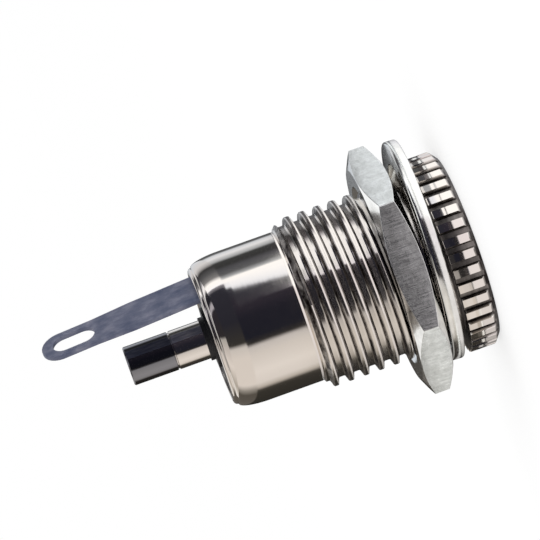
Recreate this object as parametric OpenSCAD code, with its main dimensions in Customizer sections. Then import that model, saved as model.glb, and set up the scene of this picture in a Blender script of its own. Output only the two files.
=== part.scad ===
// Panel mounting dc barrel jack with a knurled head, a washer and a hex nut.
// It stands on the face of its head. The barrel's axis is Z and the terminals point up.

/* [Head] */
// Diameter over the knurling
head_d = 12.7; // [12.2:0.1:14.5]
// Thickness of the head
head_h = 2; // [1.5:0.1:4]
// How far the front bevel comes in
bevel_in = 0.5; // [0.2:0.05:0.8]
// Height of the front bevel
bevel_h = 0.4; // [0.2:0.05:0.9]
// Number of knurl grooves
knurl_count = 40; // [24:1:48]
// Depth of a knurl groove
knurl_depth = 0.3; // [0.15:0.05:0.5]
// Width of a knurl groove at its mouth
knurl_mouth = 0.48; // [0.3:0.02:0.6]
// Width of a knurl groove at its floor
knurl_floor = 0.3; // [0.1:0.02:0.4]

/* [Threaded neck] */
// Diameter over the thread's crests
thread_d = 11; // [10.6:0.1:12]
// Height of a thread ridge
thread_depth = 0.45; // [0.3:0.05:0.55]
// Distance from crest to crest
thread_pitch = 1; // [0.75:0.05:1.5]
// Number of shallow run-out turns next to the undercut
runout_turns = 2; // [1:1:3]
// How much lower the run-out turns are cut
runout_drop = 0.17; // [0.16:0.01:0.3]
// Length of the neck behind the head
neck_len = 9.25; // [7.5:0.25:14]
// Diameter of the undercut behind the head
relief_d = 9.8; // [9.6:0.1:10.4]

/* [Rear barrel] */
// Diameter of the smooth barrel
barrel_d = 9.8; // [9.7:0.1:10.6]
// Length of the smooth barrel
barrel_len = 5.75; // [5:0.25:9]
// Length of the domed shoulder
shoulder_len = 1.9; // [1:0.1:3]
// How far the shoulder comes in
shoulder_drop = 0.42; // [0.2:0.02:0.5]
// Radius of the rolled edge at the rear rim
rim_round = 0.24; // [0.1:0.02:0.3]
// Wall of the barrel at its rear
barrel_wall = 0.6; // [0.55:0.05:0.75]
// How far the rolled lip reaches over the rear insulator
lip_catch = 0.18; // [0.1:0.02:0.3]
// Thickness of the rolled lip
lip_t = 0.45; // [0.35:0.05:0.8]

/* [Socket] */
// Bore of the shell around the socket insulator
shell_bore_d = 8; // [7.6:0.1:8.4]
// Chamfer at the mouth of the shell
mouth_chamfer = 0.3; // [0.1:0.05:0.6]
// Bore that takes the plug's sleeve
plug_bore_d = 5.6; // [5.4:0.05:5.9]
// Diameter of the lead-in at the mouth of the plug bore
lead_in_d = 6; // [5.95:0.05:6.6]
// Depth of the lead-in
lead_in_len = 1.5; // [1:0.1:1.8]
// How far the socket insulator sits behind the front face
face_recess = 0.25; // [0.1:0.05:0.5]
// Depth of the plug bore from the front face
socket_depth = 10.8; // [9.5:0.1:11.6]

/* [Rear insulator] */
// Diameter of the boss around the terminal
boss_d = 2.8; // [2.7:0.1:3.4]
// Height of the boss above the rear rim
boss_h = 0.4; // [0.2:0.05:1]
// Diameter of the low step under the boss
step_d = 3.9; // [3.5:0.1:4.4]
// Height of the low step above the insulator's face
step_h = 0.2; // [0.1:0.05:0.4]
// How far the insulator's face lies below the rear rim
face_sink = 0.1; // [0.05:0.05:0.25]

/* [Centre pin] */
// Diameter of the contact pin
pin_d = 2.1; // [1.3:0.05:2.4]
// Length of the pin's tapered nose
pin_nose = 0.5; // [0.2:0.1:1]
// How far the pin's tip lies behind the front face
pin_recess = 2; // [1.9:0.1:4]
// Diameter of the collar that the two insulators hold
collar_d = 4.2; // [3.4:0.1:4.8]
// Thickness of the collar
collar_h = 0.8; // [0.5:0.1:1.5]
// Diameter of the terminal
terminal_d = 2.5; // [2.3:0.05:2.6]
// Height of the terminal above the rear rim
terminal_len = 5.43; // [4:0.1:8]
// Length of the solder cup at the end of the terminal
cup_len = 2.96; // [2.5:0.1:3.6]
// Bore of the solder cup
cup_bore_d = 1.7; // [1.2:0.05:1.9]
// Depth of the solder cup's bore
cup_depth = 2.2; // [1.5:0.1:2.4]
// Depth of the turned ring where the cup begins
ring_depth = 0.08; // [0.05:0.01:0.15]
// Width of the turned ring
ring_w = 0.14; // [0.1:0.02:0.3]

/* [Ground lug] */
// Thickness of the stamped strip
lug_t = 0.3; // [0.2:0.02:0.36]
// Width of the strip where it leaves the barrel
lug_w = 2.8; // [2.3:0.1:3.2]
// Width of the strip round its eye
lug_eye_w = 2.5; // [2.3:0.1:2.9]
// Height of the lug's tip above the rear rim
lug_len = 10.15; // [8:0.25:14]
// Lean of the lug towards the axis, in degrees
lug_lean = 3.7; // [0:0.1:6]
// Direction of the lug round the axis, in degrees from +X
lug_turn = -34; // [-60:1:0]
// Length of the eye
eye_len = 2.75; // [1.8:0.05:3.4]
// Width of the eye
eye_w = 1.5; // [0.9:0.05:1.7]
// Metal between the eye and the tip
eye_end = 0.72; // [0.5:0.02:1]
// Width of the contact leaf inside the socket
leaf_w = 1.9; // [1.4:0.1:2.2]
// How far the leaf bows into the plug bore
leaf_reach = 0.15; // [0.05:0.01:0.3]
// Distance from the front face to the leaf's free end
leaf_start = 2.8; // [2.5:0.1:3.5]

/* [Flat washer] */
// How far the washer reaches past the nut's flats
washer_margin = 0.15; // [0:0.05:0.8]
// Play of the washer's hole round the thread, on the radius
washer_play = 0.2; // [0.1:0.05:0.5]
// Thickness of the washer
washer_t = 0.8; // [0.5:0.1:1.5]
// Tilt of the loose washer, in degrees
washer_tilt = 2; // [0:0.25:3]

/* [Hex nut] */
// Metal between the nut's bore and its flats
nut_wall = 1.45; // [1.1:0.05:2.5]
// Thickness of the nut
nut_h = 2; // [1.5:0.1:4]
// Angle of the chamfer on the nut's corners, in degrees
nut_chamfer_angle = 25; // [15:1:35]
// How far the chamfer's circle lies inside the flats
nut_chamfer_in = 0.05; // [0:0.05:0.3]
// Chamfer at both ends of the nut's bore
nut_bore_chamfer = 0.3; // [0.1:0.05:0.5]

/* [Clearances] */
// Gap between pieces that are assembled by hand or pressed
fit_gap = 0.03; // [0.02:0.01:0.05]
// Running clearance of the nut on the thread, on the radius
nut_clearance = 0.05; // [0.03:0.01:0.08]
// Gap between the washer's hole and the neck on the side where it rests
washer_gap = 0.13; // [0.1:0.01:0.2]
// Room on each side of the leaf in its channel
leaf_gap = 0.15; // [0.1:0.01:0.25]
// Rest gap between the nut and the place where the thread begins
nut_gap = 0.1; // [0.05:0.05:0.5]

/* [Hidden] */
$fn = 72;
cut = 0.1;                  // how far a cutter runs past the face that it cuts

nickel = "#c9c3b8";
steel = "#b9babb";
tinned = "#8d93a0";
plastic = "#1d1d20";

head_r = head_d / 2;
thread_r = thread_d / 2;
root_r = thread_r - thread_depth;
relief_r = relief_d / 2;
barrel_r = barrel_d / 2;
shell_bore_r = shell_bore_d / 2;
rear_bore_r = barrel_r - barrel_wall;
lip_r = rear_bore_r - lip_catch;
terminal_r = terminal_d / 2;

// Across: the nut's width over its flats follows the thread, and the washer follows the nut
nut_bore_r = thread_r + nut_clearance;
nut_af = 2 * (nut_bore_r + nut_wall);
washer_d = nut_af + 2 * washer_margin;
washer_hole_d = thread_d + 2 * washer_play;

// Heights along the axis, from the face of the head
washer_rise = washer_d / 2 * sin(washer_tilt);
washer_z = head_h + fit_gap + washer_t / 2 * cos(washer_tilt) + washer_rise;
thread_z = head_h + washer_t + 2 * washer_rise + 3 * fit_gap;
neck_z = head_h + neck_len;
rim_z = neck_z + barrel_len;
lip_z = rim_z - lip_t;
insulator_face_z = rim_z - face_sink;
nut_z = thread_z + nut_gap;
floor_z = socket_depth + 1.6;         // back of the socket insulator's floor
terminal_z = rim_z + terminal_len;
cup_z = terminal_z - cup_len;
tip_z = rim_z + lug_len;

// Thread ridges
ridge_base = 0.62 * thread_pitch;
ridge_crest = 0.3 * thread_pitch;
last_ridge_z = neck_z - 0.5 * thread_pitch;
ridge_count = floor((last_ridge_z - ridge_base / 2 - thread_z) / thread_pitch) + 1;
first_ridge_z = last_ridge_z - (ridge_count - 1) * thread_pitch;

// Distance of the strip's middle from the axis, at the lip and beside the socket
function seat_in(bore_r, strip_w) = sqrt(pow(bore_r - fit_gap, 2) - pow(strip_w / 2, 2)) - lug_t / 2;
lug_seat = seat_in(lip_r, lug_w);
leaf_seat = seat_in(shell_bore_r, leaf_w);
leaf_bow = leaf_seat - lug_t / 2 - (plug_bore_d / 2 - leaf_reach);
leaf_tip_seat = leaf_seat - 0.35 * leaf_bow;
leaf_steps = 14;

// Slip of the loose washer towards +X
washer_slip = (washer_hole_d - relief_d) / 2 - washer_gap;

function arc(centre, radii, from, to, steps) =
    [for (i = [0:steps]) let (a = from + (to - from) * i / steps)
        [centre[0] + radii[0] * cos(a), centre[1] + radii[1] * sin(a)]];

// ---------------------------------------------------------------- shell

function ridge(z, crest_r) = [[root_r, z - ridge_base / 2], [crest_r, z - ridge_crest / 2],
                              [crest_r, z + ridge_crest / 2], [root_r, z + ridge_base / 2]];

function shell_outside() = concat(
    [[head_r - bevel_in, 0], [head_r, bevel_h], [head_r, head_h], [relief_r, head_h],
     [relief_r, thread_z - (root_r - relief_r)], [root_r, thread_z]],
    [for (i = [0:ridge_count - 1])
        each ridge(first_ridge_z + i * thread_pitch, thread_r - (i < runout_turns ? runout_drop : 0))],
    [[root_r, neck_z - (root_r - barrel_r)], [barrel_r, neck_z]],
    arc([barrel_r - shoulder_drop, rim_z - rim_round - shoulder_len],
        [shoulder_drop, shoulder_len], 0, 75, 6),
    arc([barrel_r - shoulder_drop - rim_round, rim_z - rim_round],
        [rim_round, rim_round], 0, 90, 4));

function shell_inside() = [
    [lip_r, rim_z], [lip_r, lip_z], [rear_bore_r, lip_z], [rear_bore_r, floor_z],
    [shell_bore_r, floor_z], [shell_bore_r, mouth_chamfer],
    [shell_bore_r + mouth_chamfer, 0]];

module knurl_grooves() {
    for (i = [0:knurl_count - 1])
        rotate([0, 0, 360 * i / knurl_count])
            translate([0, 0, -cut])
                linear_extrude(head_h + 2 * cut)
                    polygon([[head_r - knurl_depth, -knurl_floor / 2],
                             [head_r + cut, -knurl_mouth / 2 - cut / 4],
                             [head_r + cut, knurl_mouth / 2 + cut / 4],
                             [head_r - knurl_depth, knurl_floor / 2]]);
}

// One turned piece: knurled head, thread and smooth barrel with a rolled rim
module shell() {
    color(nickel)
        difference() {
            rotate_extrude() polygon(concat(shell_outside(), shell_inside()));
            knurl_grooves();
        }
}

// ----------------------------------------------------------- insulators

// Space for the leaf, open to the plug bore and to the shell's wall
module leaf_channel() {
    rotate([0, 0, lug_turn])
        translate([0, -leaf_w / 2 - leaf_gap, leaf_start - leaf_gap])
            cube([shell_bore_r + cut, leaf_w + 2 * leaf_gap, socket_depth - leaf_start + leaf_gap]);
}

// Slot that the strip passes through in the socket's floor
module leaf_slot() {
    rotate([0, 0, lug_turn])
        translate([leaf_seat - lug_t / 2 - fit_gap, -leaf_w / 2 - fit_gap, socket_depth - cut])
            cube([shell_bore_r, leaf_w + 2 * fit_gap, floor_z - socket_depth + 2 * cut]);
}

// Moulded cup that lines the shell and leads the plug in
module socket_insulator() {
    outer_r = shell_bore_r - fit_gap;
    color(plastic)
        difference() {
            translate([0, 0, face_recess]) cylinder(r = outer_r, h = floor_z - face_recess);
            translate([0, 0, face_recess - cut])
                cylinder(d = lead_in_d, h = lead_in_len + cut);
            translate([0, 0, face_recess])
                cylinder(d = plug_bore_d, h = socket_depth - face_recess);
            cylinder(d = pin_d + 2 * fit_gap, h = floor_z + cut);
            leaf_channel();
            leaf_slot();
        }
}

// Moulded disc that closes the rear, with a boss round the terminal
module rear_insulator() {
    front_z = floor_z + fit_gap;
    color(plastic)
        difference() {
            union() {
                translate([0, 0, front_z])
                    cylinder(r = rear_bore_r - fit_gap, h = lip_z - fit_gap - front_z);
                translate([0, 0, front_z])
                    cylinder(r = lip_r - fit_gap, h = insulator_face_z - front_z);
                translate([0, 0, front_z])
                    cylinder(d = step_d, h = insulator_face_z + step_h - front_z);
                translate([0, 0, front_z])
                    cylinder(d = boss_d, h = rim_z + boss_h - front_z);
            }
            translate([0, 0, front_z - cut])
                cylinder(d = collar_d + 2 * fit_gap, h = collar_h + 2 * fit_gap + cut);
            cylinder(d = terminal_d + 2 * fit_gap, h = terminal_z);
            rotate([0, 0, lug_turn])
                translate([lug_seat - lug_t / 2 - fit_gap, -lug_w / 2 - fit_gap, front_z - cut])
                    cube([lug_t + 2 * fit_gap, lug_w + 2 * fit_gap, rim_z - front_z + 2 * cut]);
            strip_joggle_room();
        }
}

// ----------------------------------------------------------- centre pin

// One turned piece: contact pin, collar, terminal and solder cup
module centre_pin() {
    pin_r = pin_d / 2;
    collar_z = floor_z + 2 * fit_gap;
    color(nickel)
        rotate_extrude()
            polygon([[0, pin_recess], [0.55 * pin_r, pin_recess],
                     [0.9 * pin_r, pin_recess + 0.4 * pin_nose], [pin_r, pin_recess + pin_nose],
                     [pin_r, collar_z], [collar_d / 2, collar_z],
                     [collar_d / 2, collar_z + collar_h - fit_gap],
                     [terminal_r, collar_z + collar_h - fit_gap],
                     [terminal_r, cup_z - ring_w / 2], [terminal_r - ring_depth, cup_z - ring_w / 4],
                     [terminal_r - ring_depth, cup_z + ring_w / 4], [terminal_r, cup_z + ring_w / 2],
                     [terminal_r, terminal_z - ring_w / 2], [terminal_r - ring_w / 2, terminal_z],
                     [cup_bore_d / 2, terminal_z], [cup_bore_d / 2, terminal_z - cup_depth],
                     [0, terminal_z - cup_depth - cup_bore_d / 4]]);
}

// ----------------------------------------------------------- ground lug

joggle_len = 0.8;
joggle_z = floor_z + 0.4;

// Middle line of the strip in its own plane: distance from the axis and height
function bow_at(z) = let (t = (z - leaf_start) / (socket_depth - leaf_start))
    leaf_seat - (leaf_seat - leaf_tip_seat) * (1 - t) - (leaf_bow - 0.17 * leaf_bow) * pow(sin(180 * t), 2);

lug_line = concat(
    [for (i = [0:leaf_steps]) let (z = leaf_start + (socket_depth - leaf_start) * i / leaf_steps)
        [bow_at(z), z]],
    [[leaf_seat, joggle_z], [lug_seat, joggle_z + joggle_len], [lug_seat, rim_z],
     [lug_seat - lug_len * tan(lug_lean), tip_z]]);

function unit(v) = v / norm(v);
function side_at(line, i) = let (
    before = unit(line[max(i, 1)] - line[max(i, 1) - 1]),
    after = unit(line[min(i + 1, len(line) - 1)] - line[min(i, len(line) - 2)]),
    along = unit(before + after))
    [along[1], -along[0]];

// Section of the strip, as thick as the sheet all the way
module strip_section(thickness) {
    polygon(concat(
        [for (i = [0:len(lug_line) - 1]) lug_line[i] + side_at(lug_line, i) * thickness / 2],
        [for (i = [len(lug_line) - 1:-1:0]) lug_line[i] - side_at(lug_line, i) * thickness / 2]));
}

// Flat outline of the stamping, seen along its normal
module strip_outline() {
    eye_r = lug_eye_w / 2;
    neck_from = eye_len + eye_end + lug_eye_w;
    difference() {
        union() {
            translate([-leaf_w / 2, 0]) square([leaf_w, joggle_z]);
            polygon([[-lug_w / 2, joggle_z - cut], [lug_w / 2, joggle_z - cut],
                     [lug_w / 2, tip_z - neck_from], [eye_r, tip_z - eye_len - eye_end],
                     [eye_r, tip_z - eye_r], [-eye_r, tip_z - eye_r],
                     [-eye_r, tip_z - eye_len - eye_end], [-lug_w / 2, tip_z - neck_from]]);
            translate([0, tip_z - eye_r]) circle(r = eye_r);
        }
        for (end = [tip_z - eye_end - eye_w / 2, tip_z - eye_end - eye_len + eye_w / 2])
            translate([0, end]) circle(d = eye_w);
        translate([-eye_w / 2, tip_z - eye_end - eye_len + eye_w / 2])
            square([eye_w, eye_len - eye_w]);
    }
}

// Turns a drawing of distance and height into the strip's plane
module in_strip_plane() {
    rotate([0, 0, lug_turn]) rotate([90, 0, 0]) children();
}

// Room in the rear insulator where the strip widens and steps across
module strip_joggle_room() {
    from = min(lug_seat, leaf_seat) - lug_t / 2 - 2 * fit_gap;
    to = max(lug_seat, leaf_seat) + lug_t / 2 + 2 * fit_gap;
    rotate([0, 0, lug_turn])
        translate([from, -lug_w / 2 - fit_gap, floor_z - cut])
            cube([to - from, lug_w + 2 * fit_gap, joggle_z + joggle_len + cut - floor_z]);
}

// One stamped strip: bowed contact leaf inside, solder lug with an eye outside
module ground_lug() {
    color(tinned)
        intersection() {
            in_strip_plane()
                translate([0, 0, -lug_w]) linear_extrude(2 * lug_w) strip_section(lug_t);
            rotate([0, 0, lug_turn]) rotate([90, 0, 90])
                linear_extrude(2 * barrel_r) strip_outline();
        }
}

// --------------------------------------------------------- washer and nut

module flat_washer() {
    color(steel)
        translate([washer_slip, 0, washer_z])
            rotate([0, washer_tilt, 0])
                difference() {
                    cylinder(d = washer_d, h = washer_t, center = true);
                    cylinder(d = washer_hole_d, h = washer_t + 2 * cut, center = true);
                }
}

// Hexagon with flats across Y, its corners taken down by cones at both faces
module hex_nut() {
    corner_r = nut_af / 2 / cos(30);
    chamfer_in = corner_r - nut_af / 2 + nut_chamfer_in;
    chamfer_h = chamfer_in * tan(nut_chamfer_angle);
    color(steel)
        translate([0, 0, nut_z])
            difference() {
                intersection() {
                    cylinder(r = corner_r, h = nut_h, $fn = 6);
                    rotate_extrude()
                        polygon([[0, 0], [corner_r - chamfer_in, 0], [corner_r + cut, chamfer_h
                                  + cut * tan(nut_chamfer_angle)],
                                 [corner_r + cut, nut_h - chamfer_h - cut * tan(nut_chamfer_angle)],
                                 [corner_r - chamfer_in, nut_h], [0, nut_h]]);
                }
                rotate_extrude()
                    polygon([[0, -cut], [nut_bore_r + nut_bore_chamfer + cut, -cut],
                             [nut_bore_r, nut_bore_chamfer], [nut_bore_r, nut_h - nut_bore_chamfer],
                             [nut_bore_r + nut_bore_chamfer + cut, nut_h + cut], [0, nut_h + cut]]);
            }
}

shell();
socket_insulator();
rear_insulator();
centre_pin();
ground_lug();
flat_washer();
hex_nut();
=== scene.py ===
"""Panel mounting dc barrel jack: meshes, finishes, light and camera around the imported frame.

Meshes are made in millimetres in the frame's own axes: Z runs along the barrel from the face of
the knurled head to the terminals, and the nut's flats face -Y and +Y.
"""

import logging
import math
from dataclasses import dataclass
from enum import Enum
from typing import Any, Optional, Sequence

import bmesh
import bpy
from mathutils import Matrix, Vector

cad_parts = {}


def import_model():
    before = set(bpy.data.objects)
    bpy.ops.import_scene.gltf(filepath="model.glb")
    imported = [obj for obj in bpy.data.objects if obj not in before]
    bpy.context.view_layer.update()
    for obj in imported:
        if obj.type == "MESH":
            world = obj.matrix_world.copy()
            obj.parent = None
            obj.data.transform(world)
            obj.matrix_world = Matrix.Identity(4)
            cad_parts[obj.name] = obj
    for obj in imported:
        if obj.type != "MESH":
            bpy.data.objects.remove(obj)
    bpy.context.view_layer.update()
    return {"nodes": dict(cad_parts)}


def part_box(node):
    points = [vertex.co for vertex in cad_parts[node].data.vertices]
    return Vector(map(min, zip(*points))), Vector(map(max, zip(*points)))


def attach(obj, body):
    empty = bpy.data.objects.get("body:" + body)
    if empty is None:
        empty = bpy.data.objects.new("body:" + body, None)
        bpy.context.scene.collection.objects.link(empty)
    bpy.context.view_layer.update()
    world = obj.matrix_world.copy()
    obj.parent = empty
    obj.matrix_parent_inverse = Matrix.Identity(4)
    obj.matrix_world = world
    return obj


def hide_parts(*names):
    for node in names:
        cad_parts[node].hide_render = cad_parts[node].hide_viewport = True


LOG = logging.getLogger("barrel_jack")
MM = 0.001
SHARP_ANGLE = math.radians(32)
# Distances in millimetres: closer than NEAR is the same place, closer than WELD the same vertex
NEAR = 1e-3
WELD = 1e-5

Point = tuple[float, float]


class Body(Enum):
    """The two rigid bodies of the jack."""

    JACK = "jack"
    NUT = "nut"


# ------------------------------------------------------------------ mesh tools


def arc(centre: Point, radii: Point, start: float, end: float, steps: int) -> list[Point]:
    """Points on an elliptic arc.

    Args:
        centre: Centre as radius and height.
        radii: Half axes across and along the barrel.
        start: First angle in degrees.
        end: Last angle in degrees.
        steps: Number of chords.

    Returns:
        The points in order.
    """
    points = []
    for step in range(steps + 1):
        angle = math.radians(start + (end - start) * step / steps)
        points.append((centre[0] + radii[0] * math.cos(angle), centre[1] + radii[1] * math.sin(angle)))
    return points


def draw_profile(bm: bmesh.types.BMesh, profile: Sequence[Point], closed: bool) -> list[Any]:
    """Draws radius and height points as an edge chain in the XZ plane.

    Args:
        bm: The mesh to draw in.
        profile: Radius and height pairs in millimetres.
        closed: Whether the last point joins the first.

    Returns:
        The new vertices and edges.
    """
    verts = [bm.verts.new((radius, 0.0, height)) for radius, height in profile]
    edges = [bm.edges.new(pair) for pair in zip(verts, verts[1:])]
    if closed:
        edges.append(bm.edges.new((verts[-1], verts[0])))
    return verts + edges


def revolve(bm: bmesh.types.BMesh, profile: Sequence[Point], steps: int, closed: bool = False) -> None:
    """Turns a profile once round the barrel's axis.

    Args:
        bm: The mesh to build in.
        profile: Radius and height pairs in millimetres.
        steps: Number of facets round the axis.
        closed: Whether the profile is a ring.
    """
    chain = draw_profile(bm, profile, closed)
    bmesh.ops.spin(bm, geom=chain, cent=(0, 0, 0), axis=(0, 0, 1), angle=math.tau, steps=steps,
                   use_merge=True, use_duplicate=False)
    bmesh.ops.remove_doubles(bm, verts=bm.verts[:], dist=WELD)
    bmesh.ops.recalc_face_normals(bm, faces=bm.faces[:])


def soften(bm: bmesh.types.BMesh, edges: Sequence[Any], width: float, clamp: bool = True) -> None:
    """Rounds edges over.

    Args:
        bm: The mesh.
        edges: Its edges to round.
        width: How far the rounding reaches from each edge in millimetres.
        clamp: Whether it stops where two roundings would meet.
    """
    bmesh.ops.bevel(bm, geom=edges, offset=width, offset_type="OFFSET", segments=2, profile=0.5,
                    affect="EDGES", material=-1, clamp_overlap=clamp)


def polar(vert: bmesh.types.BMVert) -> Point:
    """Radius and angle of a vertex round the barrel's axis."""
    return math.hypot(vert.co.x, vert.co.y), math.atan2(vert.co.y, vert.co.x)


def set_polar(vert: bmesh.types.BMVert, radius: float, angle: float) -> None:
    """Moves a vertex to a radius and an angle round the axis and keeps its height."""
    vert.co.x = radius * math.cos(angle)
    vert.co.y = radius * math.sin(angle)


def to_object(bm: bmesh.types.BMesh, name: str, body: Body, node: str,
              material: bpy.types.Material, sharp: float = SHARP_ANGLE) -> bpy.types.Object:
    """Turns a mesh in millimetres into a piece that stands for a node of the frame.

    Args:
        bm: The finished mesh, which is freed.
        name: The piece's name.
        body: The body that it rides on.
        node: The node that it replaces.
        material: The finish.
        sharp: Edges that turn by more than this stay crisp.

    Returns:
        The new object, at the origin and unscaled.
    """
    bmesh.ops.scale(bm, vec=(MM, MM, MM), verts=bm.verts[:])
    mesh = bpy.data.meshes.new(name)
    bm.to_mesh(mesh)
    bm.free()
    mesh.shade_smooth()
    mesh.set_sharp_from_angle(angle=sharp)
    mesh.materials.append(material)
    piece = bpy.data.objects.new(name, mesh)
    bpy.context.scene.collection.objects.link(piece)
    even = piece.modifiers.new("even_faces", "WEIGHTED_NORMAL")
    even.keep_sharp = True
    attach(piece, body.value)
    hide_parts(node)
    return piece


# -------------------------------------------------------------- material tools


def linear(code: str) -> tuple[float, float, float, float]:
    """Linear colour of an sRGB hex code.

    Args:
        code: Six hex digits after a hash sign.

    Returns:
        Red, green, blue and alpha.
    """
    channels = [int(code[i:i + 2], 16) / 255 for i in (1, 3, 5)]
    red, green, blue = (c / 12.92 if c <= 0.04045 else ((c + 0.055) / 1.055) ** 2.4 for c in channels)
    return red, green, blue, 1.0


def add_node(tree: bpy.types.NodeTree, kind: str, settings: Optional[dict[str, Any]] = None,
             values: Optional[dict[Any, Any]] = None) -> bpy.types.Node:
    """Adds a shader node with its settings, values and links.

    Args:
        tree: The node tree.
        kind: Node type without its ShaderNode prefix.
        settings: Properties of the node itself.
        values: Input name or index to a value, or to the socket that feeds it.

    Returns:
        The node.
    """
    node = tree.nodes.new("ShaderNode" + kind)
    for key, value in (settings or {}).items():
        setattr(node, key, value)
    for key, value in (values or {}).items():
        if isinstance(value, bpy.types.NodeSocket):
            tree.links.new(value, node.inputs[key])
        else:
            node.inputs[key].default_value = value
    return node


def per_mm(size: float) -> float:
    """Texture scale on Object coordinates at which one cell is that many millimetres."""
    return 1 / (size * MM)


def stretch(tree: bpy.types.NodeTree, cell: tuple[float, float, float]) -> bpy.types.NodeSocket:
    """Object coordinates scaled so that one texture unit is a cell of that size.

    Args:
        tree: The node tree.
        cell: Cell size in millimetres along X, Y and Z.

    Returns:
        The vector socket.
    """
    place = add_node(tree, "TexCoord").outputs["Object"]
    scale = tuple(per_mm(size) for size in cell)
    return add_node(tree, "Mapping", values={"Vector": place, "Scale": scale}).outputs["Vector"]


def noise(tree: bpy.types.NodeTree, cell: tuple[float, float, float], detail: float,
          roughness: float = 0.5) -> bpy.types.NodeSocket:
    """A cloudy pattern.

    Args:
        tree: The node tree.
        cell: Size of its clouds in millimetres along X, Y and Z.
        detail: How many finer layers it has.
        roughness: How strongly the finer layers show.

    Returns:
        The socket of its values.
    """
    node = add_node(tree, "TexNoise", values={
        "Vector": stretch(tree, cell), "Scale": 1.0, "Detail": detail, "Roughness": roughness})
    return node.outputs["Fac"]


def remap(tree: bpy.types.NodeTree, value: bpy.types.NodeSocket, source: Point,
          target: Point = (0.0, 1.0)) -> bpy.types.NodeSocket:
    """A value carried from one range to another, and held at the ends.

    Args:
        tree: The node tree.
        value: The socket that comes in.
        source: First and last value that come in.
        target: First and last value that go out.

    Returns:
        The socket of the result.
    """
    node = add_node(tree, "MapRange", values={
        "Value": value, "From Min": source[0], "From Max": source[1],
        "To Min": target[0], "To Max": target[1]})
    return node.outputs["Result"]


def calculate(tree: bpy.types.NodeTree, operation: str, *terms: Any) -> bpy.types.NodeSocket:
    """Result of one sum on numbers or sockets, named as the Math node names it."""
    return add_node(tree, "Math", {"operation": operation}, dict(enumerate(terms))).outputs["Value"]


def blend(tree: bpy.types.NodeTree, factor: bpy.types.NodeSocket, first: Any, second: Any) -> Any:
    """Mixes two colours.

    Args:
        tree: The node tree.
        factor: The socket that gives the second colour's share.
        first: A colour or the socket of one.
        second: A colour or the socket of one.

    Returns:
        The colour socket.
    """
    node = add_node(tree, "Mix", {"data_type": "RGBA"}, {"Factor": factor, 6: first, 7: second})
    return node.outputs[2]


def relief(tree: bpy.types.NodeTree, height: bpy.types.NodeSocket, depth: float,
           under: Optional[bpy.types.NodeSocket] = None) -> bpy.types.NodeSocket:
    """Bends the surface's normal by a pattern.

    Args:
        tree: The node tree.
        height: The pattern.
        depth: Its full height in millimetres.
        under: The normal that it lies on, if it isn't the surface's own.

    Returns:
        The normal socket.
    """
    values = {"Height": height, "Distance": depth * MM, "Strength": 1.0}
    if under is not None:
        values["Normal"] = under
    return add_node(tree, "Bump", values=values).outputs["Normal"]


def empty_material(name: str) -> tuple[bpy.types.Material, bpy.types.NodeTree]:
    """A new material without nodes.

    Args:
        name: Its name.

    Returns:
        The material and its tree.
    """
    material = bpy.data.materials.new(name)
    material.use_nodes = True
    material.node_tree.nodes.clear()
    return material, material.node_tree


def ramp(tree: bpy.types.NodeTree, factor: bpy.types.NodeSocket,
         stops: Sequence[tuple[float, str]]) -> bpy.types.NodeSocket:
    """A colour ramp.

    Args:
        tree: The node tree.
        factor: The socket that drives it.
        stops: Position and hex colour of each stop, in order.

    Returns:
        The colour socket.
    """
    node = add_node(tree, "ValToRGB", values={"Fac": factor})
    elements = node.color_ramp.elements
    while len(elements) < len(stops):
        elements.new(0.5)
    for element, (position, code) in zip(elements, stops):
        element.position = position
        element.color = linear(code)
    return node.outputs["Color"]


@dataclass(frozen=True)
class Finish:
    """One real finish: a Principled surface with its own wear and relief."""

    name: str
    colour: str
    roughness: float
    metallic: float = 1.0

    def start(self) -> tuple[bpy.types.Material, bpy.types.NodeTree, bpy.types.Node]:
        """An empty material with its shader and output.

        Returns:
            The material, its tree and its Principled node.
        """
        material, tree = empty_material(self.name)
        shader = add_node(tree, "BsdfPrincipled", values={
            "Base Color": linear(self.colour), "Roughness": self.roughness, "Metallic": self.metallic})
        add_node(tree, "OutputMaterial", values={"Surface": shader.outputs["BSDF"]})
        return material, tree, shader


@dataclass(frozen=True)
class PaintedShade:
    """Painted shade in patches between two depths of a turned form: darkens hollows and steep walls."""

    deep_r: float
    clear_r: float
    low_z: float
    high_z: float
    on_floor: float
    patch: float


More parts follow.
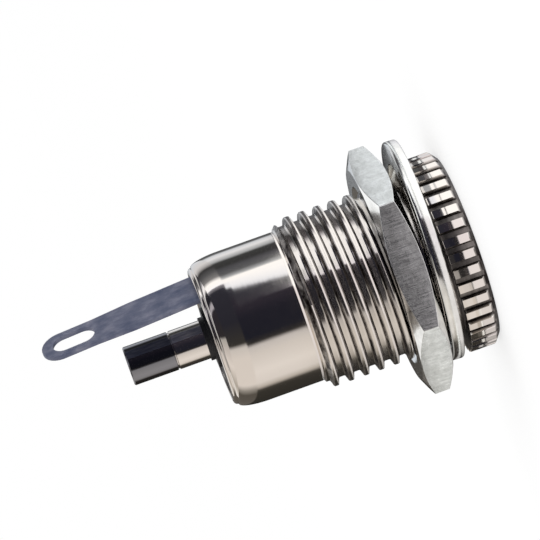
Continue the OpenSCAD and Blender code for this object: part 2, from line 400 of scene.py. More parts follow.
@dataclass(frozen=True)
class NickelPlate(Finish):
    """Bright nickel plate over turned brass: warm grey mirror with faint turning lines.

    The lines run round the axis, so they blur reflections along the barrel. Painted shade, in
    patches, darkens steep walls and whatever lies deeper than the crests. A piece without painted
    shade can have its end tinted grey from a given height upwards: a painted reflection that stands
    in for the dimmer mirror of the open solder cup.
    """

    line_pitch: float = 0.12
    line_depth: float = 0.0004
    dent_depth: float = 0.004
    painted_shade: str = "#241c1b"
    painted_shade_roughness: float = 0.4
    painted_shades: tuple[PaintedShade, ...] = ()
    painted_reflection_from: float = 0.0
    painted_reflection_edge: float = 0.04
    painted_reflection_colour: str = "#85858a"

    def material(self) -> bpy.types.Material:
        """Builds the finish.

        Returns:
            The material.
        """
        material, tree, shader = self.start()
        lines = noise(tree, (6.0, 6.0, self.line_pitch), 3.0)
        dents = noise(tree, (1.4, 1.4, 2.2), 2.0)
        turned = relief(tree, lines, self.line_depth)
        tree.links.new(relief(tree, dents, self.dent_depth, turned), shader.inputs["Normal"])
        roughness = remap(tree, dents, (0.3, 0.75), (self.roughness * 0.8, self.roughness * 1.35))
        plate = linear(self.colour)
        # Painted shade: deep places and steep walls are darkened to a near-black brown, in patches.
        if self.painted_shades:
            amount = self.painted_shade_amount(tree)
            tree.links.new(blend(tree, amount, plate, linear(self.painted_shade)), shader.inputs["Base Color"])
            dull = remap(tree, amount, (0.0, 1.0), (self.roughness, self.painted_shade_roughness))
            roughness = calculate(tree, "MAXIMUM", roughness, dull)
        # Painted reflection: from that height up the plate is tinted grey, standing in for the open cup's
        # dimmer mirror.
        elif self.painted_reflection_from > 0:
            place = add_node(tree, "TexCoord").outputs["Object"]
            height = add_node(tree, "SeparateXYZ", values={"Vector": place}).outputs["Z"]
            border = ((self.painted_reflection_from - self.painted_reflection_edge) * MM, (self.painted_reflection_from + self.painted_reflection_edge) * MM)
            tint = blend(tree, remap(tree, height, border), plate, linear(self.painted_reflection_colour))
            tree.links.new(tint, shader.inputs["Base Color"])
        tree.links.new(roughness, shader.inputs["Roughness"])
        return material

    def painted_shade_amount(self, tree: bpy.types.NodeTree) -> bpy.types.NodeSocket:
        """How much painted shade lies at each place, from its depth and how steep the wall is.

        Args:
            tree: The node tree.

        Returns:
            The amount, from 0 to 1.
        """
        place = add_node(tree, "TexCoord")
        split = add_node(tree, "SeparateXYZ", values={"Vector": place.outputs["Object"]})
        flat = add_node(tree, "CombineXYZ", values={
            "X": split.outputs["X"], "Y": split.outputs["Y"]}).outputs["Vector"]
        radius = add_node(tree, "VectorMath", {"operation": "LENGTH"}, {0: flat}).outputs["Value"]
        outward = add_node(tree, "VectorMath", {"operation": "NORMALIZE"}, {0: flat}).outputs["Vector"]
        facing = add_node(tree, "VectorMath", {"operation": "DOT_PRODUCT"}, {
            0: outward, 1: place.outputs["Normal"]}).outputs["Value"]
        patches = noise(tree, (0.7, 0.7, 0.35), 5.0, 0.6)
        total: Optional[bpy.types.NodeSocket] = None
        for painted_shade in self.painted_shades:
            middle = (painted_shade.low_z + painted_shade.high_z) / 2 * MM
            reach = (painted_shade.high_z - painted_shade.low_z) / 2 * MM
            share = remap(tree, radius, (painted_shade.deep_r * MM, painted_shade.clear_r * MM), (1.0, 0.0))
            factors = (remap(tree, facing, (0.75, 0.97), (1.0, painted_shade.on_floor)),
                       calculate(tree, "COMPARE", split.outputs["Z"], middle, reach),
                       remap(tree, patches, (0.35, 0.6), (1 - painted_shade.patch, 1.0)))
            for factor in factors:
                share = calculate(tree, "MULTIPLY", share, factor)
            total = share if total is None else calculate(tree, "ADD", total, share)
        return total


@dataclass(frozen=True)
class ScratchedNickel(Finish):
    """Thin nickel on a milled nut or a pressed washer: satin, with crossing tool marks."""

    mark_width: float = 0.05
    mark_depth: float = 0.0006
    cloud_depth: float = 0.002
    light: str = "#f4f5f4"

    def material(self) -> bpy.types.Material:
        """Builds the finish.

        Returns:
            The material.
        """
        material, tree, shader = self.start()
        marks = noise(tree, (self.mark_width, 1.6, 1.1), 4.0, 0.7)
        cloud = noise(tree, (0.8, 0.8, 0.5), 5.0)
        colour = ramp(tree, cloud, [(0.32, self.colour), (0.72, self.light)])
        tree.links.new(colour, shader.inputs["Base Color"])
        rough = remap(tree, marks, (0.3, 0.7), (self.roughness * 0.7, self.roughness * 1.4))
        tree.links.new(rough, shader.inputs["Roughness"])
        marked = relief(tree, marks, self.mark_depth)
        tree.links.new(relief(tree, cloud, self.cloud_depth, marked), shader.inputs["Normal"])
        return material


@dataclass(frozen=True)
class TinnedStrip(Finish):
    """Matte tin on a stamped strip: blue grey, mottled, with rolling lines along it."""

    dark: str = "#4e5670"
    light: str = "#8a8b9c"
    line_depth: float = 0.008
    cloud_depth: float = 0.03

    def material(self) -> bpy.types.Material:
        """Builds the finish.

        Returns:
            The material.
        """
        material, tree, shader = self.start()
        cloud = noise(tree, (0.7, 0.7, 1.1), 6.0, 0.6)
        colour = ramp(tree, cloud, [(0.3, self.dark), (0.5, self.colour), (0.74, self.light)])
        tree.links.new(colour, shader.inputs["Base Color"])
        rolled = relief(tree, noise(tree, (0.08, 0.08, 3.0), 3.0), self.line_depth)
        tree.links.new(relief(tree, cloud, self.cloud_depth, rolled), shader.inputs["Normal"])
        return material


@dataclass(frozen=True)
class MouldedPlastic(Finish):
    """Black phenolic moulding: dull sheen with a fine die grain."""

    grain: float = 0.09
    grain_depth: float = 0.006
    worn: str = "#2b2b2f"

    def material(self) -> bpy.types.Material:
        """Builds the finish.

        Returns:
            The material.
        """
        material, tree, shader = self.start()
        grain = noise(tree, (self.grain,) * 3, 4.0)
        rough = remap(tree, grain, (0.3, 0.7), (self.roughness * 0.85, self.roughness * 1.2))
        tree.links.new(rough, shader.inputs["Roughness"])
        tone = ramp(tree, grain, [(0.35, self.colour), (0.7, self.worn)])
        tree.links.new(tone, shader.inputs["Base Color"])
        tree.links.new(relief(tree, grain, self.grain_depth), shader.inputs["Normal"])
        return material


# --------------------------------------------------------------------- pieces


@dataclass
class Shell:
    """The turned shell: knurled head, helical thread and smooth barrel with a rolled rim."""

    head_r: float = 6.35
    head_h: float = 2.0
    bevel_in: float = 0.5
    bevel_h: float = 0.4
    knurls: int = 40
    knurl_depth: float = 0.3
    knurl_mouth: float = 0.48
    knurl_floor: float = 0.3
    knurl_round: float = 0.035
    crest_r: float = 5.5
    root_r: float = 5.05
    pitch: float = 1.0
    relief_r: float = 4.9
    thread_z: float = 3.39
    thread_end: float = 11.1
    run_in: float = 0.3
    run_out: float = 0.35
    seam: float = 0.02
    crest_phase: float = 0.1
    crest_share: float = 0.26
    base_share: float = 0.66
    flank_power: float = 0.9
    shallow_to: float = 5.5
    deepen: float = 0.5
    shallow_share: float = 0.62
    neck_z: float = 11.25
    barrel_r: float = 4.9
    step_in: float = 0.03
    shoulder_len: float = 1.9
    shoulder_drop: float = 0.42
    rim_round: float = 0.24
    lip_r: float = 4.12
    lip_t: float = 0.45
    lip_edge: float = 0.03
    rear_bore_r: float = 4.3
    bore_r: float = 4.0
    step_z: float = 12.4
    mouth_chamfer: float = 0.3
    facets_per_knurl: int = 4
    rows_per_turn: int = 16

    def __post_init__(self) -> None:
        """Takes the rim's height from the frame."""
        self.rim_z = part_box("shell")[1][2] / MM

    def outline(self) -> list[Point]:
        """The section of the shell without its thread, from above the thread back to below it.

        Returns:
            Radius and height pairs of an open chain.
        """
        step_r = self.barrel_r - self.step_in
        neck = [(self.root_r, self.thread_end + self.seam), (step_r, self.neck_z - 0.04),
                (step_r, self.neck_z), (self.barrel_r, self.neck_z + 0.06),
                (self.barrel_r, self.neck_z + 0.12)]
        shoulder_z = self.rim_z - self.rim_round - self.shoulder_len
        shoulder = arc((self.barrel_r - self.shoulder_drop, shoulder_z),
                       (self.shoulder_drop, self.shoulder_len), 0, 75, 18)
        rim = arc((self.barrel_r - self.shoulder_drop - self.rim_round, self.rim_z - self.rim_round),
                  (self.rim_round, self.rim_round), 0, 90, 8)
        inside = [(self.lip_r + self.lip_edge, self.rim_z), (self.lip_r, self.rim_z - self.lip_edge),
                  (self.lip_r, self.rim_z - self.lip_t), (self.rear_bore_r, self.rim_z - self.lip_t),
                  (self.rear_bore_r, self.step_z), (self.bore_r, self.step_z),
                  (self.bore_r, self.mouth_chamfer), (self.bore_r + self.mouth_chamfer, 0.0)]
        head = [(self.head_r - self.bevel_in, 0.0), (self.head_r, self.bevel_h),
                (self.head_r, self.head_h), (self.relief_r, self.head_h),
                (self.relief_r, self.thread_z - (self.root_r - self.relief_r)),
                (self.root_r, self.thread_z - self.seam)]
        return neck + shoulder + rim + inside + head

    def knurl(self, bm: bmesh.types.BMesh) -> None:
        """Moves the head's rim in and out so that straight grooves run round it.

        Args:
            bm: The revolved shell.
        """
        pitch = math.tau / self.knurls
        floor_r = self.head_r - self.knurl_depth
        mouth = math.asin(self.knurl_mouth / 2 / self.head_r)
        floor = math.asin(self.knurl_floor / 2 / floor_r)
        places = [(floor_r, -floor), (floor_r, floor), (self.head_r, mouth), (self.head_r, pitch - mouth)]
        floor_z = self.bevel_h * (floor_r - self.head_r + self.bevel_in) / self.bevel_in
        for vert in bm.verts:
            radius, angle = polar(vert)
            if radius < self.head_r - NEAR:
                continue
            index = round(angle / pitch * self.facets_per_knurl) % (self.knurls * self.facets_per_knurl)
            tooth, step = divmod(index, self.facets_per_knurl)
            radius, offset = places[step]
            set_polar(vert, radius, tooth * pitch + offset)
            if step < 2 and vert.co.z < self.head_h / 2:
                vert.co.z = floor_z
        rim = [edge for edge in bm.edges if edge.calc_face_angle(0.0) > math.radians(20)
               and all(polar(vert)[0] > floor_r - NEAR for vert in edge.verts)
               and all(vert.co.z < self.head_h + NEAR for vert in edge.verts)]
        soften(bm, rim, self.knurl_round)

    def ridge_lift(self, share: float) -> float:
        """How high the ridge stands at a place across it.

        Args:
            share: Distance from the crest's middle along the barrel, in pitches.

        Returns:
            The height as a share of the full one.
        """
        away = abs((share + 0.5) % 1.0 - 0.5)
        if away < self.crest_share / 2:
            return 1.0
        flank = (away - self.crest_share / 2) / ((self.base_share - self.crest_share) / 2)
        return 0.5 + 0.5 * math.cos(math.pi * min(1.0, flank) ** self.flank_power)

    def fullness(self, height: float) -> float:
        """How deep the thread is cut at a height, with its run-in, shallow turns and run-out.

        Args:
            height: Height above the head's face in millimetres.

        Returns:
            The depth as a share of the full one.
        """
        start = min(1.0, max(0.0, (height - self.thread_z) / self.run_in))
        end = min(1.0, max(0.0, (self.thread_end - height) / self.run_out))
        deep = min(1.0, max(0.0, (height - self.shallow_to + self.deepen) / self.deepen))
        return start * end * (self.shallow_share + (1 - self.shallow_share) * deep)

    def thread(self, bm: bmesh.types.BMesh) -> None:
        """Winds the threaded neck as one right-hand helical sheet and closes it to the shell.

        Args:
            bm: The revolved shell, open where the thread goes.
        """
        steps = self.knurls * self.facets_per_knurl
        rows = self.rows_per_turn
        count = round((self.thread_end - self.thread_z + 3 * self.pitch) / self.pitch) * rows
        low = self.thread_z - 2 * self.pitch
        chain = [(self.root_r, low + self.pitch * row / rows) for row in range(count + 1)]
        draft = bmesh.new()
        drawn = draw_profile(draft, chain, False)
        bmesh.ops.spin(draft, geom=drawn, cent=(0, 0, 0), axis=(0, 0, 1), angle=math.tau,
                       dvec=(0, 0, self.pitch / steps), steps=steps, use_duplicate=False)
        bmesh.ops.remove_doubles(draft, verts=draft.verts[:], dist=10 * WELD)
        for height, outside in ((self.thread_z, -1), (self.thread_end, 1)):
            everything = draft.verts[:] + draft.edges[:] + draft.faces[:]
            bmesh.ops.bisect_plane(draft, geom=everything, dist=WELD, plane_co=(0, 0, height),
                                   plane_no=(0, 0, outside), clear_outer=True)
        depth = self.crest_r - self.root_r
        for vert in draft.verts:
            angle = polar(vert)[1]
            share = (vert.co.z - self.crest_phase) / self.pitch - angle / math.tau
            lift = depth * self.ridge_lift(share) * self.fullness(vert.co.z)
            set_polar(vert, self.root_r + lift, angle)
        scrap = bpy.data.meshes.new("thread_sheet")
        draft.to_mesh(scrap)
        draft.free()
        bm.from_mesh(scrap)
        bpy.data.meshes.remove(scrap)
        for height in (self.thread_z, self.thread_end):
            loops = [edge for edge in bm.edges if edge.is_boundary
                     and all(abs(vert.co.z - height) < 1.5 * self.seam for vert in edge.verts)]
            bmesh.ops.bridge_loops(bm, edges=loops)
        bmesh.ops.recalc_face_normals(bm, faces=bm.faces[:])

    def build(self, finish: bpy.types.Material) -> bpy.types.Object:
        """Makes the shell.

        Args:
            finish: Its material.

        Returns:
            The piece.
        """
        bm = bmesh.new()
        revolve(bm, self.outline(), self.knurls * self.facets_per_knurl)
        self.knurl(bm)
        self.thread(bm)
        return to_object(bm, "shell_turned", Body.JACK, "shell", finish)


@dataclass
class HexNut:
    """The hexagon nut, its corners taken down by a cone at each face."""

    across_flats: float = 14.0
    height: float = 2.0
    bore_r: float = 5.55
    bore_chamfer: float = 0.3
    chamfer_in: float = 0.05
    chamfer_angle: float = 25.0
    corner_round: float = 0.07
    edge_round: float = 0.02
    facets: int = 180
    sharp: float = 12.0

    def __post_init__(self) -> None:
        """Takes the nut's place on the thread from the frame."""
        self.base_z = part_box("hex_nut")[0][2] / MM

    def outline_radius(self, angle: float) -> float:
        """Distance from the axis to the hexagon's side in that direction."""
        sector = math.tau / 6
        return self.across_flats / 2 / math.cos(angle % sector - sector / 2)

    def build(self, finish: bpy.types.Material) -> bpy.types.Object:
        """Makes the nut.

        Args:
            finish: Its material.

        Returns:
            The piece.
        """
        flat_r = self.across_flats / 2
        circle_r = flat_r - self.chamfer_in
        corner_r = flat_r / math.cos(math.pi / 6)
        mouth_r = self.bore_r + self.bore_chamfer
        draft = self.height / 4
        profile = [(self.bore_r, self.bore_chamfer), (mouth_r, 0.0), (circle_r, 0.0),
                   (corner_r, draft), (corner_r, self.height - draft), (circle_r, self.height),
                   (mouth_r, self.height), (self.bore_r, self.height - self.bore_chamfer)]
        bm = bmesh.new()
        revolve(bm, profile, self.facets, closed=True)
        slope = math.tan(math.radians(self.chamfer_angle))
        for vert in bm.verts:
            radius, angle = polar(vert)
            if radius > circle_r + NEAR:
                side = self.outline_radius(angle)
                drop = slope * (side - circle_r)
                set_polar(vert, side, angle)
                vert.co.z = drop if vert.co.z < self.height / 2 else self.height - drop
        corners = [edge for edge in bm.edges
                   if min(polar(vert)[0] for vert in edge.verts) > corner_r - NEAR]
        soften(bm, corners, self.corner_round)
        outer = [edge for edge in bm.edges if edge.calc_face_angle(0.0) > math.radians(40)
                 and min(polar(vert)[0] for vert in edge.verts) > mouth_r + 0.1]
        soften(bm, outer, self.edge_round, clamp=False)
        bmesh.ops.translate(bm, vec=(0, 0, self.base_z), verts=bm.verts[:])
        return to_object(bm, "nut_hexagon", Body.NUT, "hex_nut", finish,
                         math.radians(self.sharp))


@dataclass
class FlatWasher:
    """The loose washer, off the axis and tilted as it hangs."""

    outer_r: float = 7.15
    hole_r: float = 5.7
    thickness: float = 0.8
    edge_round: float = 0.14
    hole_edge: float = 0.05
    tilt: float = 2.0
    slip: float = 0.67
    facets: int = 144

    def __post_init__(self) -> None:
        """Takes the middle height from the frame."""
        low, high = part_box("flat_washer")
        self.middle_z = (low[2] + high[2]) / 2 / MM

    def build(self, finish: bpy.types.Material) -> bpy.types.Object:
        """Makes the washer.

        Args:
            finish: Its material.

        Returns:
            The piece.
        """
        half, soft = self.thickness / 2, self.edge_round
        outer = self.outer_r - soft
        edge = self.hole_edge
        profile = [(self.hole_r, half - edge), (self.hole_r, edge - half), (self.hole_r + edge, -half)]
        profile += arc((outer, soft - half), (soft, soft), -90, 0, 5)
        profile += arc((outer, half - soft), (soft, soft), 0, 90, 5)
        profile += [(self.hole_r + edge, half)]
        bm = bmesh.new()
        revolve(bm, profile, self.facets, closed=True)
        lean = Matrix.Rotation(math.radians(self.tilt), 4, "Y")
        place = Matrix.Translation((self.slip, 0, self.middle_z)) @ lean
        bmesh.ops.transform(bm, matrix=place, verts=bm.verts[:])
        return to_object(bm, "washer_flat", Body.JACK, "flat_washer", finish)


@dataclass
class CentrePin:
    """The turned centre pin with its collar, terminal, ring line and solder cup."""

    pin_r: float = 1.05
    nose: float = 0.5
    nose_flat: float = 0.55
    tip_z: float = 2.0
    collar_r: float = 2.1
    collar_h: float = 0.77
    collar_z: float = 12.46
    terminal_r: float = 1.25
    cup_len: float = 2.96
    cup_bore_r: float = 0.85
    cup_depth: float = 2.2
    ring_w: float = 0.14
    ring_depth: float = 0.08
    edge: float = 0.07
    cup_edge: float = 0.05
    facets: int = 96

    def __post_init__(self) -> None:
        """Takes the terminal's end from the frame."""
        self.end_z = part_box("centre_pin")[1][2] / MM

    def build(self, finish: bpy.types.Material) -> bpy.types.Object:
        """Makes the pin.

        Args:
            finish: Its material.

        Returns:
            The piece.
        """
        ring_z = self.end_z - self.cup_len
        ring_r = self.terminal_r - self.ring_depth
        collar_top = self.collar_z + self.collar_h
        cup_floor = self.end_z - self.cup_depth
        flat_r = self.nose_flat * self.pin_r
        profile = [(0.0, self.tip_z)]
        profile += arc((flat_r, self.tip_z + self.nose), (self.pin_r - flat_r, self.nose), -90, 0, 8)
        profile += [(self.pin_r, self.collar_z), (self.collar_r, self.collar_z),
                    (self.collar_r, collar_top), (self.terminal_r, collar_top),
                    (self.terminal_r, ring_z - self.ring_w / 2), (ring_r, ring_z - self.ring_w / 4),
                    (ring_r, ring_z + self.ring_w / 4), (self.terminal_r, ring_z + self.ring_w / 2),
                    (self.terminal_r, self.end_z - self.edge), (self.terminal_r - self.edge, self.end_z),
                    (self.cup_bore_r + self.cup_edge, self.end_z),
                    (self.cup_bore_r, self.end_z - self.cup_edge),
                    (self.cup_bore_r, cup_floor), (0.0, cup_floor - self.cup_bore_r / 2)]
        bm = bmesh.new()
        revolve(bm, profile, self.facets)
        return to_object(bm, "pin_turned", Body.JACK, "centre_pin", finish)


@dataclass
class GroundLug:
    """The stamped strip: bowed leaf inside, solder lug with a long eye outside."""

    turn: float = -34.0
    thickness: float = 0.3
    width: float = 2.8
    eye_outer_w: float = 2.5
    leaf_w: float = 1.9
    eye_len: float = 2.75
    eye_w: float = 1.5
    eye_end: float = 0.72
    lean: float = 3.7
    seat: float = 3.69
    leaf_seat: float = 3.705
    leaf_reach: float = 2.65
    leaf_z: float = 2.8
    leaf_tip: float = 0.35
    leaf_bulge: float = 0.83
    leaf_steps: int = 16
    socket_z: float = 10.8
    widen_z: float = 12.8
    rim_z: float = 17.0
    edge: float = 0.05

    def __post_init__(self) -> None:
        """Takes the tip's height from the frame."""
        self.tip_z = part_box("ground_lug")[1][2] / MM

    def distance(self, height: float) -> float:
        """Distance from the axis to the strip's middle at that height.

        Args:
            height: Height above the head's face in millimetres.

        Returns:
            The distance in millimetres.
        """
        if height > self.rim_z:
            return self.seat - (height - self.rim_z) * math.tan(math.radians(self.lean))
        if height > self.socket_z:
            return self.leaf_seat
        share = (height - self.leaf_z) / (self.socket_z - self.leaf_z)
        bow = self.leaf_seat - self.thickness / 2 - self.leaf_reach
        droop = self.leaf_tip * (1 - share) + self.leaf_bulge * math.sin(math.pi * share) ** 2
        return self.leaf_seat - bow * droop

    def outline(self) -> list[Point]:
        """Outer edge of the flat stamping: side offset and height, round from the leaf's end.

        Returns:
            The points in order.
        """
        wide, eye, leaf = self.width / 2, self.eye_outer_w / 2, self.leaf_w / 2
        eye_root = self.tip_z - self.eye_len - self.eye_end
        right = [(leaf, self.leaf_z), (leaf, self.widen_z), (wide, self.widen_z),
                 (wide, eye_root - self.eye_outer_w), (eye, eye_root)]
        tip = arc((0.0, self.tip_z - eye), (eye, eye), 0, 180, 24)
        left = [(-side, height) for side, height in reversed(right)]
        return right + tip + left

    def eye(self) -> list[Point]:
        """Edge of the eye, a slot with round ends.

        Returns:
            Side offset and height of its points in order.
        """
        radius = self.eye_w / 2
        top = self.tip_z - self.eye_end - radius
        bottom = self.tip_z - self.eye_end - self.eye_len + radius
        upper = arc((0.0, top), (radius, radius), 0, 180, 16)
        return upper + arc((0.0, bottom), (radius, radius), 180, 360, 16)

    def build(self, finish: bpy.types.Material) -> bpy.types.Object:
        """Makes the strip.

        Args:
            finish: Its material.

        Returns:
            The piece.
        """
        bm = bmesh.new()
        edges: list[Any] = []
        for ring in (self.outline(), self.eye()):
            edges += [item for item in draw_profile(bm, ring, True) if isinstance(item, bmesh.types.BMEdge)]
        bmesh.ops.triangle_fill(bm, use_beauty=True, use_dissolve=False, edges=edges)
        for step in range(1, self.leaf_steps + 1):
            height = self.leaf_z + (self.socket_z - self.leaf_z) * step / self.leaf_steps
            self.crease(bm, height)
        self.crease(bm, self.rim_z)
        bmesh.ops.recalc_face_normals(bm, faces=bm.faces[:])
        bmesh.ops.solidify(bm, geom=bm.faces[:], thickness=self.thickness)
        middle = sum(vert.co.y for vert in bm.verts) / len(bm.verts)
        border = [edge for edge in bm.edges if edge.calc_face_angle(0.0) > math.radians(60)
                  and abs(edge.verts[0].co.y - edge.verts[1].co.y) < 10 * WELD]
        soften(bm, border, self.edge)
        direction = math.radians(self.turn)
        outward = Vector((math.cos(direction), math.sin(direction), 0.0))
        sideways = Vector((-outward.y, outward.x, 0.0))
        for vert in bm.verts:
            side, depth, height = vert.co.x, vert.co.y - middle, vert.co.z
            vert.co = outward * (self.distance(height) - depth) + sideways * side + Vector((0, 0, height))
        bmesh.ops.recalc_face_normals(bm, faces=bm.faces[:])
        return to_object(bm, "lug_stamped", Body.JACK, "ground_lug", finish)

    def crease(self, bm: bmesh.types.BMesh, height: float) -> None:
        """Cuts an edge across the flat strip at that height, where it can bend."""
        bmesh.ops.bisect_plane(bm, geom=bm.verts[:] + bm.edges[:] + bm.faces[:], dist=WELD,
                               plane_co=(0, 0, height), plane_no=(0, 0, 1))


# --------------------------------------------------------------------- studio


@dataclass(frozen=True)
class Wall:
    """One tier of the ring of walls: bright and dark panels by direction, up to a height in mm.

    A direction is in degrees round the jack: 0 is -Y, a quarter turn is +X and a half turn is +Y.
    """

    top: float
    panels: tuple[tuple[float, str], ...]


# Each tier is named for the part of the jack that mirrors it, and its height is the wall's own
LOW_WALL = Wall(-14.2, (
    (-180, "#5a5856"), (-150, "#8c8a88"), (-110, "#d0cccb"), (-70, "#d8d4d2"), (-14, "#e2dedf"),
    (22, "#e0dadd"), (40, "#ffffff"), (112, "#ffffff"), (150, "#d2d2d6"), (180, "#707070")))
WASHER_WALL = Wall(-12.3, (
    (-180, "#1e1e1c"), (-114, "#262624"), (-102, "#a8a8a6"), (-86, "#eceae8"), (-44, "#dcdcda"),
    (-36, "#b4b4b6"), (-28, "#86868a"), (-20, "#6e6c70"), (-12, "#38363a"), (24, "#302e30"),
    (33, "#8c888a"), (44, "#d0ced2"), (52, "#ffffff"), (74, "#ffffff"), (82, "#c0c2ca"), (91, "#7c8086"),
    (102, "#484c52"), (118, "#7a7e84"), (136, "#6a6e74"), (150, "#5c6066"), (180, "#505050")))
NUT_WALL = Wall(-8.3, (
    (-180, "#7a7a78"), (-150, "#b0aeac"), (-124, "#e4e4e0"), (-100, "#f0f0ee"), (-60, "#b0aeac"),
    (-40, "#303034"), (-28, "#1c1c22"), (28, "#1c1c22"), (42, "#303034"), (70, "#a4a6a6"), (100, "#e8ecee"),
    (140, "#e8ecee"), (180, "#a8aaaa")))
THREAD_WALL = Wall(1.2, (
    (-180, "#262422"), (-128, "#35322f"), (-114, "#5c5852"), (-101, "#a6a098"), (-78, "#cec8c0"),
    (-54, "#c6c0b8"), (-38, "#b6b2ae"), (-32, "#4a4644"), (-20, "#262426"), (18, "#262426"),
    (29, "#423c40"), (36, "#f4f0f8"), (48, "#ffffff"), (86, "#ffffff"), (92, "#c2c0c4"),
    (99, "#565254"), (114, "#423e40"), (130, "#5a5a5c"), (180, "#5c5c60")))
BARREL_WALL = Wall(22.0, (
    (-180, "#24231f"), (-120, "#33312d"), (-113, "#403d38"), (-105, "#b4aea6"), (-96, "#d2cdc8"),
    (-74, "#dad5d0"), (-46, "#cbc6c1"), (-34, "#bebab8"), (-29, "#2c2a28"), (-20, "#1c1d26"),
    (10, "#1f1f28"), (26, "#2a2730"), (44, "#2f2f37"), (51, "#42434a"), (55, "#e8ecf4"),
    (76, "#ffffff"), (79, "#a4a8ac"), (86, "#56585b"), (96, "#4c4d52"), (104, "#343536"),
    (116, "#3c3d3e"), (121, "#a0a4a8"), (134, "#dcdee2"), (145, "#c6cbd1"), (152, "#585a5c"),
    (180, "#303030")))
HIGH_WALL = Wall(95.0, (
    (-180, "#5c5854"), (-120, "#524e48"), (-108, "#8c8882"), (-96, "#d2ccc6"), (-46, "#d0cac4"),
    (-30, "#c2beba"), (-24, "#34322f"), (10, "#26262e"), (56, "#2c2c34"), (65, "#9c9ba4"), (70, "#f8faff"),
    (80, "#ffffff"), (87, "#7c7c7e"), (100, "#525356"), (114, "#343436"), (122, "#a8a8aa"),
    (132, "#ccccce"), (160, "#c6cbd1"), (180, "#9a9c9e")))
TOP_WALL = Wall(260.0, (
    (-180, "#f0f0f0"), (-130, "#c8c4be"), (-104, "#a8a29a"), (-60, "#d6d0ca"), (-28, "#bab4b0"),
    (-11, "#a4a29e"), (-6, "#2c2a2c"), (32, "#2a282e"), (36, "#a4a2aa"), (43, "#a4a2aa"), (48, "#222228"),
    (74, "#26262c"), (80, "#e0e0e4"), (88, "#f4f4f8"), (96, "#94959a"), (108, "#3e3f44"),
    (126, "#2e2f34"), (142, "#a0a0a2"), (160, "#f0f0f0"), (180, "#f0f0f0")))
SKY_WALL = Wall(600.0, (
    (-180, "#b4b4b4"), (-110, "#8c8884"), (-60, "#b8b4b0"), (-40, "#6c6a68"), (-30, "#262426"),
    (34, "#262426"), (48, "#c8c8cc"), (90, "#d8d8dc"), (120, "#8a8a8c"), (180, "#b4b4b4")))
WALLS = (LOW_WALL, WASHER_WALL, NUT_WALL, THREAD_WALL, BARREL_WALL, HIGH_WALL, TOP_WALL, SKY_WALL)


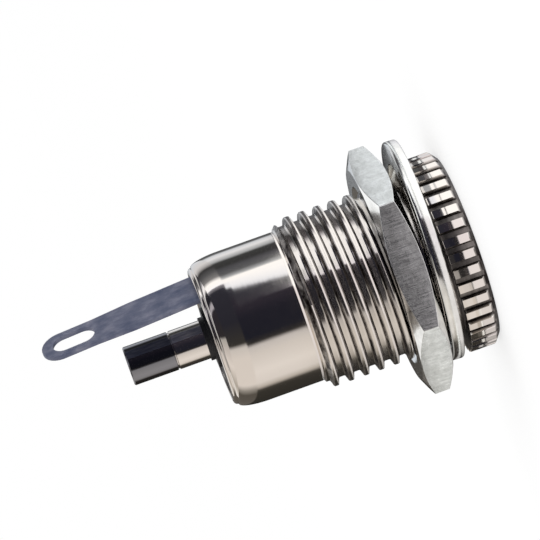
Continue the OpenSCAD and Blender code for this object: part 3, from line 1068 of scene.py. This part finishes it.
@dataclass
class Studio:
    """White sweep, soft light and the ring of bright and dark walls that the metal mirrors."""

    floor_r: float = 3.0
    tent_r: float = 0.16
    tent_h: float = 1.2
    glow: float = 1.35
    blend_mm: float = 0.5
    slant: float = 7.2
    slant_at: float = 50.0
    slant_reach: float = 20.0
    slant_from: float = 1.0
    slant_to: float = 11.0
    key_size: float = 0.12
    key_power: float = 0.08
    key_place: tuple[float, float, float] = (0.14, -0.12, 0.16)
    walls: tuple[Wall, ...] = WALLS

    def link(self, bm: bmesh.types.BMesh, name: str, material: bpy.types.Material) -> bpy.types.Object:
        """Turns a mesh into a piece of the stage.

        Args:
            bm: The mesh in metres, which is freed.
            name: Its name.
            material: Its surface.

        Returns:
            The object.
        """
        mesh = bpy.data.meshes.new(name)
        bm.to_mesh(mesh)
        bm.free()
        mesh.materials.append(material)
        piece = bpy.data.objects.new(name, mesh)
        bpy.context.scene.collection.objects.link(piece)
        return piece

    def direction(self, tree: bpy.types.NodeTree, split: bpy.types.Node) -> bpy.types.NodeSocket:
        """Direction round the jack as a share of a turn, with the upper panel's edge slanting.

        Args:
            tree: The node tree.
            split: The wall's coordinates, taken apart.

        Returns:
            The share, from 0 to 1.
        """
        back = calculate(tree, "MULTIPLY", split.outputs["Y"], -1.0)
        angle = calculate(tree, "ARCTAN2", split.outputs["X"], back)
        near_edge = calculate(tree, "COMPARE", angle, math.radians(self.slant_at),
                              math.radians(self.slant_reach))
        lean = math.radians(self.slant)
        rise = remap(tree, split.outputs["Z"], (self.slant_from * MM, self.slant_to * MM), (lean, -lean))
        leaned = calculate(tree, "ADD", angle, calculate(tree, "MULTIPLY", near_edge, rise))
        return remap(tree, leaned, (-math.pi, math.pi))

    def softboxes(self) -> bpy.types.Material:
        """The ring's panels, one row for each tier.

        Returns:
            The self-lit material.
        """
        material, tree = empty_material("softbox_ring")
        place = add_node(tree, "TexCoord").outputs["Object"]
        split = add_node(tree, "SeparateXYZ", values={"Vector": place})
        share = self.direction(tree, split)
        colour: Optional[bpy.types.NodeSocket] = None
        below = 0.0
        for wall in self.walls:
            row = ramp(tree, share, [((angle + 180) / 360, code) for angle, code in wall.panels])
            if colour is not None:
                border = ((below - self.blend_mm / 2) * MM, (below + self.blend_mm / 2) * MM)
                row = blend(tree, remap(tree, split.outputs["Z"], border), colour, row)
            colour, below = row, wall.top
        light = add_node(tree, "Emission", values={"Color": colour, "Strength": self.glow})
        add_node(tree, "OutputMaterial", values={"Surface": light.outputs["Emission"]})
        return material

    def tent(self) -> None:
        """Stands the ring of walls round the jack, seen only in reflections."""
        bm = bmesh.new()
        bmesh.ops.create_cone(bm, cap_ends=True, segments=128, radius1=self.tent_r, radius2=self.tent_r,
                              depth=self.tent_h)
        wall = self.link(bm, "tent", self.softboxes())
        wall.visible_camera = False
        wall.visible_diffuse = False
        wall.visible_shadow = False
        wall.visible_transmission = False

    def floor(self) -> None:
        """Lays the white sweep that the head stands on, which keeps a soft shadow."""
        bm = bmesh.new()
        bmesh.ops.create_circle(bm, cap_ends=True, segments=96, radius=self.floor_r)
        material, tree = empty_material("white_sweep")
        path = add_node(tree, "LightPath")
        paper = add_node(tree, "BsdfDiffuse", values={"Color": linear("#f4f4f4")})
        shaded = add_node(tree, "BsdfDiffuse", values={"Color": linear("#a0a0a0")})
        white = add_node(tree, "Emission", values={"Color": linear("#ffffff"), "Strength": 0.7})
        seen = add_node(tree, "AddShader", values={0: shaded.outputs["BSDF"], 1: white.outputs["Emission"]})
        choice = add_node(tree, "MixShader", values={
            0: path.outputs["Is Camera Ray"], 1: paper.outputs["BSDF"], 2: seen.outputs["Shader"]})
        add_node(tree, "OutputMaterial", values={"Surface": choice.outputs["Shader"]})
        ground = self.link(bm, "floor", material)
        ground.visible_glossy = False

    def world(self) -> None:
        """Plain white surroundings, full white to the camera and in mirrors, softer as light."""
        world = bpy.data.worlds.new("white_room")
        world.use_nodes = True
        tree = world.node_tree
        tree.nodes.clear()
        path = add_node(tree, "LightPath")
        strength = remap(tree, path.outputs["Is Diffuse Ray"], (0.0, 1.0), (1.0, 0.85))
        sky = add_node(tree, "Background", values={"Color": linear("#ffffff"), "Strength": strength})
        add_node(tree, "OutputWorld", values={"Surface": sky.outputs["Background"]})
        bpy.context.scene.world = world

    def lamps(self) -> None:
        """Hangs one soft key light above the terminals' side."""
        data = bpy.data.lights.new("key", "AREA")
        data.shape = "SQUARE"
        data.size = self.key_size
        data.energy = self.key_power
        lamp = bpy.data.objects.new("key", data)
        bpy.context.scene.collection.objects.link(lamp)
        lamp.location = self.key_place
        towards = Vector((0, 0, 0.01)) - lamp.location
        lamp.rotation_euler = towards.to_track_quat("-Z", "Y").to_euler()
        lamp.visible_glossy = False

    def build(self) -> None:
        """Sets the stage and the light."""
        self.world()
        self.floor()
        self.tent()
        self.lamps()
        bpy.context.scene.view_settings.view_transform = "Standard"


@dataclass
class Viewpoint:
    """Camera level with the terminals, turned so that the head points up to the right."""

    distance: float = 218.0
    station_z: float = 24.2
    aim: tuple[float, float, float] = (2.7, 0.0, 12.1)
    roll: float = 19.7
    field: float = 33.67

    def build(self) -> None:
        """Places the camera."""
        eye = Vector((0.0, -self.distance, self.station_z))
        ahead = (Vector(self.aim) - eye).normalized()
        angle = math.radians(self.roll)
        up_hint = Vector((math.cos(angle), 0.0, -math.sin(angle)))
        right = ahead.cross(up_hint).normalized()
        above = right.cross(ahead)
        turn = Matrix((right, above, -ahead)).transposed().to_4x4()
        data = bpy.data.cameras.new("camera")
        data.sensor_width = 36.0
        data.angle = 2 * math.atan(self.field / 2 / (Vector(self.aim) - eye).length)
        data.clip_start = 0.01
        camera = bpy.data.objects.new("camera", data)
        bpy.context.scene.collection.objects.link(camera)
        camera.matrix_world = Matrix.Translation(eye * MM) @ turn
        bpy.context.scene.camera = camera


# ----------------------------------------------------------------------- main


def dress(frame: dict[str, Any], node: str, material: bpy.types.Material) -> None:
    """Gives a node of the frame its finish.

    Args:
        node: The node's name.
        material: The finish.
    """
    mesh = frame["nodes"][node].data
    mesh.materials.clear()
    mesh.materials.append(material)


def main() -> None:
    """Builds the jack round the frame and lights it."""
    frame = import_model()
    Viewpoint().build()

    # The two bands are painted shade: on the thread's flanks and roots, and in the knurl's grooves.
    shell_plate = NickelPlate("turned_brass_bright_nickel", "#e3ddd7", 0.07, painted_shades=(
        PaintedShade(5.4, 5.57, 2.1, 11.1, on_floor=0.12, patch=0.5),
        PaintedShade(6.15, 6.34, -0.1, 2.1, on_floor=0.85, patch=0.15)))
    # The pin's grey end from 19.47 mm up is a painted reflection.
    pin_plate = NickelPlate("turned_terminal_nickel", "#e3ddd7", 0.09, line_pitch=0.08, painted_reflection_from=19.47)
    nut_plate = ScratchedNickel("milled_nut_nickel", "#dedfdd", 0.13)
    washer_plate = ScratchedNickel("pressed_washer_nickel", "#dededb", 0.1, mark_depth=0.0003,
                                   cloud_depth=0.001, light="#efefec")
    tin = TinnedStrip("stamped_strip_matte_tin", "#656a80", 0.5, metallic=0.35)
    phenolic = MouldedPlastic("moulded_phenolic_black", "#17171a", 0.42, metallic=0.0)

    pieces = [
        Shell().build(shell_plate.material()),
        HexNut().build(nut_plate.material()),
        FlatWasher().build(washer_plate.material()),
        CentrePin().build(pin_plate.material()),
        GroundLug().build(tin.material()),
    ]
    for piece in pieces:
        LOG.info("%s: %d faces", piece.name, len(piece.data.polygons))
    moulding = phenolic.material()
    for node in ("socket_insulator", "rear_insulator"):
        dress(frame, node, moulding)
        LOG.info("%s: dressed", node)

    Studio().build()


if __name__ == "__main__":
    logging.basicConfig(level=logging.INFO, format="%(name)s: %(message)s")
    main()
